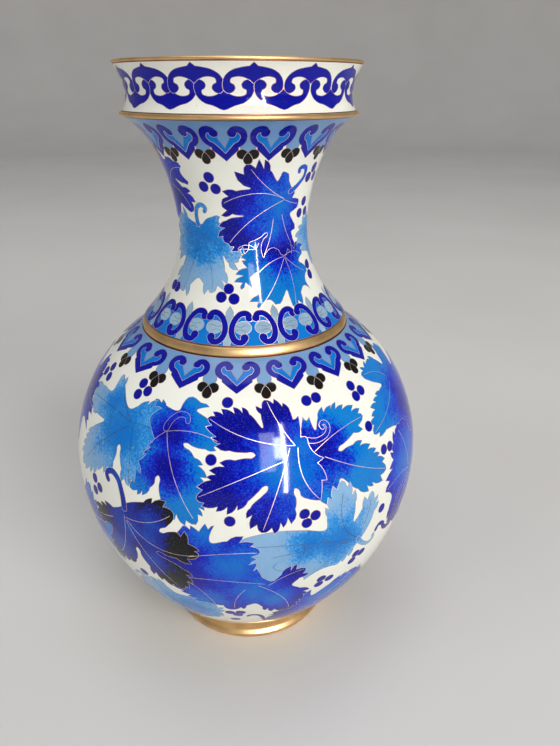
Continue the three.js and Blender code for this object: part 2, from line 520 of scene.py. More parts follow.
def wire_mesh(name, surface, lines, width, look):
    """Cloison wires: thin ribbons on edge, with a rounded crown just over the enamel."""
    # Across in shares of the width, and down in shares of the wire's height, or up in shares of its rise.
    section = np.array([[-0.5, 1], [-0.46, 0.05], [0, -1], [0.46, 0.05], [0.5, 1]])
    points, faces = [], []
    start = 0
    for line in lines:
        keep = np.concatenate([[True], np.hypot(*np.diff(line, axis=0).T) > 1e-3])
        line = line[keep]
        if len(line) < 2:
            continue
        at, normals = surface.place(line)
        along = np.diff(at, axis=0)
        along /= np.linalg.norm(along, axis=1)[:, None]
        closed = np.linalg.norm(at[0] - at[-1]) < 1e-6
        before = np.vstack([along[-1:] if closed else along[:1], along])
        after = np.vstack([along, along[:1] if closed else along[-1:]])
        middle = before + after
        middle /= np.maximum(np.linalg.norm(middle, axis=1), 1e-6)[:, None]
        side = np.cross(normals, middle)
        side /= np.maximum(np.linalg.norm(side, axis=1), 1e-6)[:, None]
        square = np.cross(normals, before)
        miter = 1 / np.clip(np.abs((side * square).sum(1)), 0.6, 1)
        depth = np.where(section[:, 1] > 0, section[:, 1] * WIRE_HEIGHT, section[:, 1] * WIRE_RISE)
        ring = (
            at[:, None]
            + (side * miter[:, None])[:, None] * (section[:, 0] * width)[None, :, None]
            - normals[:, None] * depth[None, :, None]
        )
        count, corners = len(line), len(section)
        if closed:
            ring, count = ring[:-1], count - 1
        points.append(ring.reshape(-1, 3))
        stations = np.arange(count if closed else count - 1)
        a = start + stations[:, None] * corners + np.arange(corners)[None]
        b = start + stations[:, None] * corners + (np.arange(corners)[None] + 1) % corners
        ahead = start + ((stations + 1) % count)[:, None] * corners
        c = ahead + (np.arange(corners)[None] + 1) % corners
        d = ahead + np.arange(corners)[None]
        faces += np.stack([a, b, c, d], 2).reshape(-1, 4).tolist()
        if not closed:
            faces.append([start + k for k in reversed(range(corners))])
            faces.append([start + (count - 1) * corners + k for k in range(corners)])
        start += count * corners
    piece = new_object(name, np.vstack(points), faces, looks[look])
    piece.data.shade_smooth()
    piece.data.set_sharp_from_angle(angle=math.radians(50))
    return piece


# ---- Turned pieces ----------------------------------------------------------------------------------


def section_of(node):
    """The closed section of a turned CAD node, as (radius, height) in order round it."""
    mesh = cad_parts[node].data
    places, neighbours = {}, {}
    for vertex in mesh.vertices:
        if abs(vertex.co.y) < ON_AXIS and vertex.co.x > -ON_AXIS:
            key = (round(vertex.co.x, 6), round(vertex.co.z, 6))
            places[vertex.index] = key
            neighbours.setdefault(key, set())
    for edge in mesh.edges:
        a, b = (places.get(i) for i in edge.vertices)
        if a is not None and b is not None and a != b:
            neighbours[a].add(b)
            neighbours[b].add(a)
    start = min(neighbours)
    loop = [start]
    step = max(neighbours[start])
    while step != start and step not in loop:
        loop.append(step)
        onward = [n for n in neighbours[step] if n not in loop[-2:]]
        step = onward[0] if onward else start
    loop = np.array(loop)
    return loop if area_of(loop) > 0 else loop[::-1]


SHARP = 35  # degrees; a section that turns more than this at a point has a corner there
CURVE_STEP = 2.5 * MM


def rounded(loop, fillet):
    """A section with its long curves made smooth and its corners rounded; points on the axis stay."""
    before, after = loop - np.roll(loop, 1, 0), np.roll(loop, -1, 0) - loop
    cross = before[:, 0] * after[:, 1] - before[:, 1] * after[:, 0]
    turn = np.degrees(np.arctan2(cross, (before * after).sum(1)))
    corners = [i for i in range(len(loop)) if abs(turn[i]) > SHARP]
    curve, is_corner = [], []
    for k, i in enumerate(corners):
        j = corners[(k + 1) % len(corners)]
        indices = [n % len(loop) for n in range(i, j + 1 if j > i else j + len(loop) + 1)]
        part = spline(loop[indices], CURVE_STEP)[:-1]
        curve.append(part)
        is_corner += [True] + [False] * (len(part) - 1)
    curve = np.vstack(curve)
    made = []
    for i, point in enumerate(curve):
        if not is_corner[i] or point[0] < ON_AXIS:
            made.append(point)
            continue
        back, on = curve[i - 1] - point, curve[(i + 1) % len(curve)] - point
        reach = min(fillet, 0.45 * np.hypot(*back), 0.45 * np.hypot(*on))
        a, b = point + back / np.hypot(*back) * reach, point + on / np.hypot(*on) * reach
        for t in np.linspace(0, 1, 5):
            made.append((1 - t) ** 2 * a + 2 * t * (1 - t) * point + t**2 * b)
    return np.array(made)


def revolved(name, profile, material, sides=ROUND):
    """A profile of (radius, height) turned round the axis; it closes on itself unless it meets the axis."""
    points, stations = [], []
    for r, z in profile:
        pointed = r < ON_AXIS
        stations.append((len(points), pointed))
        if pointed:
            points.append((0, 0, z))
            continue
        for k in range(sides):
            angle = 2 * math.pi * k / sides
            points.append((r * math.sin(angle), -r * math.cos(angle), z))
    meets_axis = any(pointed for _, pointed in stations)
    faces = []
    for i in range(len(stations) - 1 if meets_axis else len(stations)):
        (a, a_pointed), (b, b_pointed) = stations[i], stations[(i + 1) % len(stations)]
        for k in range(sides):
            n = (k + 1) % sides
            if a_pointed:
                faces.append((a, b + n, b + k))
            elif b_pointed:
                faces.append((a + k, a + n, b))
            else:
                faces.append((a + k, a + n, b + n, b + k))
    made = new_object(name, points, faces, material)
    made.data.shade_smooth()
    return made


def turned(node, fillet, look):
    """A fine turned piece in place of a faceted CAD node, from the node's own section."""
    section = rounded(section_of(node), fillet)
    on_axis = section[:, 0] < ON_AXIS
    if on_axis.any():
        leaves_axis = on_axis & ~np.roll(on_axis, -1)
        section = np.roll(section, -int(np.argmax(leaves_axis)), 0)
        solid = np.nonzero(section[:, 0] >= ON_AXIS)[0]
        section = np.vstack([section[:1], section[solid], section[solid[-1] + 1 : solid[-1] + 2]])
    piece = revolved("fine_" + node, section, looks[look])
    piece.data.set_sharp_from_angle(angle=math.radians(45))
    finish_piece(piece)
    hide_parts(node)


# ---- Materials --------------------------------------------------------------------------------------


def linear(red, green, blue):
    """A screen colour, 0 to 255, as the shader's linear colour."""
    parts = [value / 255 for value in (red, green, blue)]
    return [p / 12.92 if p <= 0.04045 else ((p + 0.055) / 1.055) ** 2.4 for p in parts] + [1]


class Look:
    """Makes one material and joins its nodes."""

    def __init__(self, name, roughness, metallic=0.0, ior=1.5, shine=0.5):
        self.material = bpy.data.materials.new(name)
        self.material.use_nodes = True
        self.tree = self.material.node_tree
        self.shader = self.tree.nodes["Principled BSDF"]
        self.shader.inputs["Roughness"].default_value = roughness
        self.shader.inputs["Metallic"].default_value = metallic
        self.shader.inputs["IOR"].default_value = ior
        self.shader.inputs["Specular IOR Level"].default_value = shine

    def node(self, kind, inputs=(), **settings):
        """A new shader node; an input is given a value, or a link when it is a socket."""
        made = self.tree.nodes.new("ShaderNode" + kind)
        for key, value in settings.items():
            setattr(made, key, value)
        for key, value in dict(inputs).items():
            self.feed(value, made.inputs[key])
        return made

    def feed(self, value, socket):
        if isinstance(value, bpy.types.NodeSocket):
            self.tree.links.new(value, socket)
        else:
            socket.default_value = value

    def place(self):
        """The place on the object, in metres, which rides with it."""
        return self.node("TexCoord").outputs["Object"]

    def noise(self, scale, detail=2.0, stretch=None):
        """A random value from 0 to 1, with about scale grains to the metre."""
        at = self.place()
        if stretch:
            at = self.node("Mapping", {"Vector": at, "Scale": stretch}).outputs["Vector"]
        return self.node("TexNoise", {"Vector": at, "Scale": scale, "Detail": detail}).outputs["Fac"]

    def math(self, operation, a, b, clamp=False):
        return self.node("Math", {0: a, 1: b}, operation=operation, use_clamp=clamp).outputs[0]

    def swing(self, value, amount):
        """A 0 to 1 value as a change of up to half an amount either way."""
        return self.math("MULTIPLY", self.math("SUBTRACT", value, 0.5), amount)

    def ramp(self, value, stops):
        """The colour that a value picks between stops, each a place from 0 to 1 and a screen colour."""
        ramp = self.node("ValToRGB", {"Fac": value})
        elements = ramp.color_ramp.elements
        while len(elements) < len(stops):
            elements.new(0.5)
        for element, (at, colour) in zip(elements, stops):
            element.position = at
            element.color = linear(*colour)
        return ramp.outputs["Color"]

    def mix(self, share, a, b):
        """A colour from a to b, as share goes from 0 to 1."""
        mix = self.node("Mix", data_type="RGBA")
        self.feed(share, mix.inputs["Factor"])
        self.feed(a, mix.inputs["A"])
        self.feed(b, mix.inputs["B"])
        return mix.outputs["Result"]

    def colour(self, value):
        self.feed(value, self.shader.inputs["Base Color"])

    def bump(self, height, distance, strength=1.0):
        """Relief that is distance metres deep where the height goes from 0 to 1."""
        bump = self.node("Bump", {"Height": height, "Distance": distance, "Strength": strength})
        self.feed(bump.outputs["Normal"], self.shader.inputs["Normal"])


# Ground glass of each colour, as screen colours.
DARK, BRIGHT = (0, 0, 0), (255, 255, 255)  # the ends of a ramp that is used as a share
WHITE = (240, 240, 231)
COBALT = (6, 14, 166)
PLAIN_COBALT = (8, 14, 148)
DEEP_COBALT = (4, 6, 132)
ROYAL = (8, 54, 198)
AZURE = (0, 112, 202)
SKY = (54, 148, 220)
PALE = (124, 170, 214)
# BAND_PALE is the lappet bands' pale blue, partly the glass's own colour and partly painted shade: it is
# darker than PALE for the shade under the neck's ridge, and the shoulder's band shares it.
BAND_PALE = (116, 156, 200)
GREY_PALE = (160, 190, 212)
BLACK = (14, 12, 12)

SPECK = (150, 176, 216)
PIT = (96, 84, 66)

ENAMEL_SHINE = 0.22  # specular level of the polished glass
POLISHED = 0.08  # its roughness
ENAMEL_RELIEF = 0.05 * MM
METAL_RELIEF = 0.02 * MM

# What the tone from 0 to 1 stands for in each shaded enamel.
SHADES = {
    "azure_to_cobalt": [
        (0.0, AZURE), (0.34, (4, 88, 204)), (0.6, (6, 42, 190)), (0.8, COBALT), (1.0, DEEP_COBALT),
    ],
    "cobalt_to_azure": [
        (0.0, DEEP_COBALT), (0.3, COBALT), (0.52, ROYAL), (0.74, AZURE), (1.0, (10, 122, 200)),
    ],
    "azure_to_pale": [
        (0.0, AZURE), (0.3, (22, 122, 204)), (0.5, SKY), (0.72, PALE), (1.0, (136, 178, 216)),
    ],
    "royal_to_black": [
        (0.0, (0, 74, 180)), (0.36, (4, 44, 160)), (0.66, (8, 18, 132)), (0.76, (8, 8, 40)), (0.82, BLACK),
    ],
}


def enamel(name, stops):
    """Polished glass over ground colours: shaded by the tone, mottled, speckled and finely pitted."""
    look = Look(name, POLISHED, shine=ENAMEL_SHINE)
    tone = look.node("Attribute", attribute_name="tone").outputs["Fac"]
    clouds = look.swing(look.noise(110, 6), 0.8)
    grains = look.swing(look.noise(1000, 3), 1.0)
    value = look.math("ADD", look.math("ADD", tone, clouds), grains, clamp=True)
    colour = look.ramp(value, stops)
    specks = look.ramp(look.noise(2600, 0), [(0.7, DARK), (0.78, BRIGHT)])
    look.colour(look.mix(look.math("MULTIPLY", specks, 0.18), colour, linear(*SPECK)))
    look.bump(look.noise(420, 3), ENAMEL_RELIEF, 0.25)
    return look.material


def pits_of(look):
    """1 in the small round pits that a few cells of a fine mosaic hold, and 0 elsewhere."""
    mosaic = look.node("TexVoronoi", {"Vector": look.place(), "Scale": 230.0, "Randomness": 1.0})
    chance = look.node("SeparateColor", {"Color": mosaic.outputs["Color"]}).outputs[0]
    small = look.math("LESS_THAN", mosaic.outputs["Distance"], 0.055)
    few = look.math("LESS_THAN", chance, 0.22)
    return look.math("MULTIPLY", small, few)


def plain_enamel(name, colour, stain, roughness=POLISHED, share=0.35, pits=True):
    """One colour of enamel, clouded with a stain, with a few dark pits in its face."""
    look = Look(name, roughness, shine=ENAMEL_SHINE)
    clouds = look.ramp(look.noise(38, 5), [(0.42, DARK), (0.72, BRIGHT)])
    base = look.mix(look.math("MULTIPLY", clouds, share), linear(*colour), linear(*stain))
    if pits:
        base = look.mix(look.math("MULTIPLY", pits_of(look), 0.5), base, linear(*PIT))
    look.colour(base)
    look.bump(look.noise(300, 4), ENAMEL_RELIEF, 0.25)
    return look.material


def metal(name, colour, dull, roughness, lines):
    """Polished metal with fine turning lines and a little tarnish."""
    look = Look(name, roughness, metallic=1.0)
    turning = look.noise(lines, 2, stretch=(0.02, 0.02, 1.0))
    tarnish = look.ramp(look.noise(90, 5), [(0.4, DARK), (0.75, BRIGHT)])
    look.colour(look.mix(look.math("MULTIPLY", tarnish, 0.6), linear(*colour), linear(*dull)))
    look.bump(turning, METAL_RELIEF, 0.35)
    return look.material


def make_materials():
    """Every look by name: the shaded enamels, the plain ones and the metals."""
    looks = {name: enamel(name, stops) for name, stops in SHADES.items()}
    looks["white"] = plain_enamel("white_enamel", WHITE, (222, 224, 208))
    looks["cobalt"] = plain_enamel("cobalt_enamel", PLAIN_COBALT, (12, 26, 166), pits=False)
    looks["azure"] = plain_enamel("azure_enamel", AZURE, (24, 138, 214), pits=False)
    # The lappet bands' enamel: its pale blue and its stain are partly painted shade, darker than the leaves'
    # pale for the shade under the neck's ridge.
    looks["band_pale"] = plain_enamel("band_pale_enamel", BAND_PALE, (104, 146, 194), share=0.8, pits=False)
    looks["grey_pale"] = plain_enamel("grey_blue_enamel", GREY_PALE, (120, 150, 176), share=0.9)
    looks["black"] = plain_enamel("black_enamel", BLACK, (44, 38, 36), share=0.6, pits=False)
    looks["lining"] = plain_enamel("counter_enamel", (62, 142, 170), (40, 112, 150), roughness=0.3, share=0.9)
    looks["light_wire"] = metal("light_wire", (250, 226, 214), (210, 172, 156), 0.45, 900)
    looks["edge_wire"] = metal("edge_wire", (176, 134, 114), (118, 86, 72), 0.42, 900)
    looks["dark_wire"] = metal("dark_wire", (96, 84, 80), (62, 54, 52), 0.42, 900)
    looks["brass"] = metal("turned_brass", (228, 190, 136), (178, 138, 92), 0.4, 2600)
    looks["copper"] = metal("sheet_copper", (196, 122, 88), (140, 82, 60), 0.4, 1200)
    return looks


looks = make_materials()


# ---- The motifs of the borders ----------------------------------------------------------------------


def spread(seen, count):
    """The angles of a border's repeats: those seen at the front, and the rest evenly round the back."""
    left = count - len(seen)
    gap = (seen[0] + 360 - seen[-1]) / (left + 1)
    return list(seen) + [seen[-1] + gap * (i + 1) for i in range(left)]


def centres(places):
    """The angles half way between neighbours all round."""
    return [(a + b) / 2 for a, b in zip(places, places[1:] + [places[0] + 360])]


def mirrored(points):
    """A symmetric outline from its right half, which runs from the axis back to the axis."""
    points = np.asarray(points)
    inner = points[::-1] * [-1, 1]
    return np.vstack([points, inner[inner[:, 0] < -1e-6]])


# Right half of a lappet in shares of its half width and height, from the tip up round the lobe.
LAPPET_EDGE = "0,0 0.6,0.31 0.62,0.385"
LAPPET_LOBE = "0.62,0.385 0.76,0.43 0.92,0.53 0.99,0.68 0.93,0.85 0.74,0.97 0.5,1 0.3,0.93 0.2,0.83 0.2,0.75"
LAPPET_BLUE = "0,0.215 0.44,0.5 0.5,0.52"
LAPPET_BLUE_LOBE = "0.5,0.52 0.66,0.6 0.71,0.68 0.62,0.79 0.48,0.79 0.3,0.72"
LAPPET_NOTCH = "0,0.37 0.12,0.5 0.25,0.64 0.29,0.8 0.26,1.03"
LAPPET_CURL = (0.37, 0.79)  # the middle of the curl at a lobe's end
LAPPET_CURL_SIZE = (0.19, 0.125)


def lappet(field, prefix, x, half, low, high):
    """A hanging lappet: a cobalt edge that curls in at the top, azure inside, and a pale notch."""
    size = np.array([half, high - low])

    def outline(*parts):
        flat = np.vstack([divided(pairs(parts[0]), 0.2)] + [spline(pairs(p), 0.07) for p in parts[1:]])
        return mirrored(flat) * size + [x, low]

    cell = f"{prefix}_edge_{x}"
    field.lay(prefix + "_lappet_edges", outline(LAPPET_EDGE, LAPPET_LOBE), cell)
    field.lay(prefix + "_lappet_hearts", outline(LAPPET_BLUE, LAPPET_BLUE_LOBE))
    notch = mirrored(spline(pairs(LAPPET_NOTCH), 0.07)) * size + [x, low]
    field.lay(prefix + "_band", notch, prefix + "_band")
    along, up = LAPPET_CURL * size
    for side in (-1, 1):
        curl = disc(x + side * along, low + up, *LAPPET_CURL_SIZE * size)
        field.lay(prefix + "_lappet_edges", curl, cell)


# In shares of a berry's size: the two at the back, and the right half of the pointed one in front.
BACK_BERRY = (1.02, 0.75)
BACK_BERRY_SIZE = 0.98
FRONT_BERRY = "0,1.25 0.55,0.62 0.86,-0.15 0.6,-0.95 0,-1.2"
FRONT_BERRY_DROP = 0.12


def black_berries(field, prefix, x, y, size):
    """Three black berries under a pendant: two side by side, and a pointed one in front."""
    along, up = BACK_BERRY
    for side in (-1, 1):
        berry = disc(x + side * along * size, y + up * size, BACK_BERRY_SIZE * size)
        field.lay(prefix + "_black_berries", berry)
    front = mirrored(spline(pairs(FRONT_BERRY), 0.3)) * size
    field.lay(prefix + "_black_berries", front + [x, y - FRONT_BERRY_DROP * size])


def lappet_border(field, prefix, tips, low, high, band, pendant, widest, share, berries_y, berry_size):
    """A pale band with a pendant between each two lappets, and black berries under each pendant.

    A lappet's half width is a share of the gap to its nearer neighbour, and at most the widest.
    """
    name = prefix + "_band"
    field.ground(name, band, None)
    for x in centres(tips):
        field.lay(name, pendant + [x, 0], name)
    ordered = sorted(tips)
    for x in tips:
        gap = min(b - a for a, b in zip(ordered, ordered[1:]) if x in (a, b))
        lappet(field, prefix, x, min(widest, share * gap), low, high)
    for x in centres(tips):
        black_berries(field, prefix, x, berries_y, berry_size)
    field.piece(name, "band_pale")
    field.piece(prefix + "_lappet_edges", "cobalt")
    field.piece(prefix + "_lappet_hearts", "azure")
    field.piece(prefix + "_black_berries", "black")


def shoulder_border(field):
    lappet_border(
        field, "shoulder", spread([-75.3, -50.1, -26.3, -3.9, 18.0, 39.0, 59.3], 16),
        low=47.3, high=62.4, band=54.6, pendant=disc(0, 53.2, 3.0),
        widest=10.6, share=0.46, berries_y=47.8, berry_size=2.15,
    )


def neck_border(field):
    lappet_border(
        field, "neck", spread([-34.6, -9.0, 16.8, 44.8], 14),
        low=56.2, high=79.8, band=66.0,
        pendant=spline(pairs("-4,67 -4.3,64.5 -2.8,62.4 0,61.6 2.8,62.4 4.3,64.5 4,67"), 1),
        widest=12.5, share=0.5, berries_y=58.3, berry_size=3.3,
    )


# Offsets from a spearhead's middle, for the scroll on its right.
SCROLL_STROKE = (
    "9.5,-73 9,-74.2 7.1,-75.4 4.8,-74.9 3,-72.8 1.9,-69.2 2.3,-64.9 4.2,-61 7.7,-58.1 10.8,-58.2 12.4,-60.6"
)
SCROLL_WIDTHS = [3.4, 3.5, 3.5, 3.5, 3.6, 3.8, 3.9]
SCROLL_BULBS = ((9.2, -72.7, 2.3), (12.2, -60.8, 2.5))  # x, y and radius at the stroke's two ends
SCROLL_EYE = (8.4, -66.9, 4.9, 4.0)  # x, y and the two radii
EYE_LINES = ("4,-65.4 6.6,-66.6 9.6,-65.6 12.6,-66", "4.2,-69 7,-68 9.8,-68.9 11.8,-68.2")
SPEARHEAD = "0,-53.3 1.2,-55 2.4,-57.3 2.4,-60 1.5,-63.4 0.5,-67"
DIAMOND = "0,-70.2 1.6,-71.8 2.3,-73.6 1.9,-75.6 1.5,-78"
SCROLL_GROUND = -61.8


def scroll_border(field):
    """C scrolls in cobalt, back to back at each spearhead, with a pale eye inside each."""
    spears = spread([-38, -9.8, 18.7, 46.9], 13)
    eye_x, eye_y, *eye_size = SCROLL_EYE
    field.ground("scroll_band", None, SCROLL_GROUND)
    for x in spears:
        for side in (-1, 1):
            inside = spline(pairs(SCROLL_STROKE), 1) * [side, 1] + [x, 0]
            field.lay("scroll_band", inside, "scroll_band")
    for x in spears:
        field.lay("scroll_spearheads", mirrored(pairs(SPEARHEAD)) + [x, 0])
        field.lay("scroll_spearheads", mirrored(pairs(DIAMOND)) + [x, 0])
        for side in (-1, 1):
            field.lay("scroll_eyes", disc(side * eye_x + x, eye_y, *eye_size))
            for line in EYE_LINES:
                field.vein(pairs(line) * [side, 1] + [x, 0], "dark")
            cell = f"scroll_{x}_{side}"
            stroke = ribbon(pairs(SCROLL_STROKE), SCROLL_WIDTHS, 0.8) * [side, 1] + [x, 0]
            field.lay("scroll_strokes", stroke, cell)
            for bulb_x, bulb_y, size in SCROLL_BULBS:
                field.lay("scroll_strokes", disc(bulb_x * side + x, bulb_y, size), cell)
    field.piece("scroll_band", "azure")
    field.piece("scroll_spearheads", "grey_pale")
    field.piece("scroll_eyes", "grey_pale")
    field.piece("scroll_strokes", "cobalt")


# Right half of a crescent, round its outside and back along its inside.
CRESCENT_TIP = "0,13.8 1.7,12.2"
BLUNT_TIP = "0,13.6 1.7,13.1"
CRESCENT = (
    "1.7,12.2 4.8,11.7 8.4,10.7 11.4,8.6 13,5.4 12.8,3 11.2,1.5 8.9,1.9 7.6,3.5 8.2,4.9 9.6,5.7 9.4,7.1 "
    "7.4,7.9 5,7.9 2.6,7.1 0,5.2"
)
LOWER_TURN = 8.3  # a lower crescent's y is this less its own


def mouth_border(field):
    """A chain of crescents whose ends curl in, turned up and down by turns; the lower ones are blunt."""
    peaks = spread([-43.9, -19.4, 5.8, 32.4, 59.2], 14)

    def crescent(tip):
        point, shoulder = pairs(tip)
        round_edge = spline(np.vstack([shoulder, pairs(CRESCENT)[1:]]), 0.7)
        return mirrored(np.vstack([point, round_edge]))

    for x in centres(peaks):
        field.lay("mouth_crescents", crescent(BLUNT_TIP) * [1, -1] + [x, LOWER_TURN])
    for x in peaks:
        field.lay("mouth_crescents", crescent(CRESCENT_TIP) + [x, 0])
    field.piece("mouth_crescents", "cobalt")


# ---- The leaves and berries -------------------------------------------------------------------------
# Listed from the undermost to the topmost. Each leaf has its shade, the places where that shade starts
# with how far it reaches, its outline, its veins, and for some the curl of its stem.

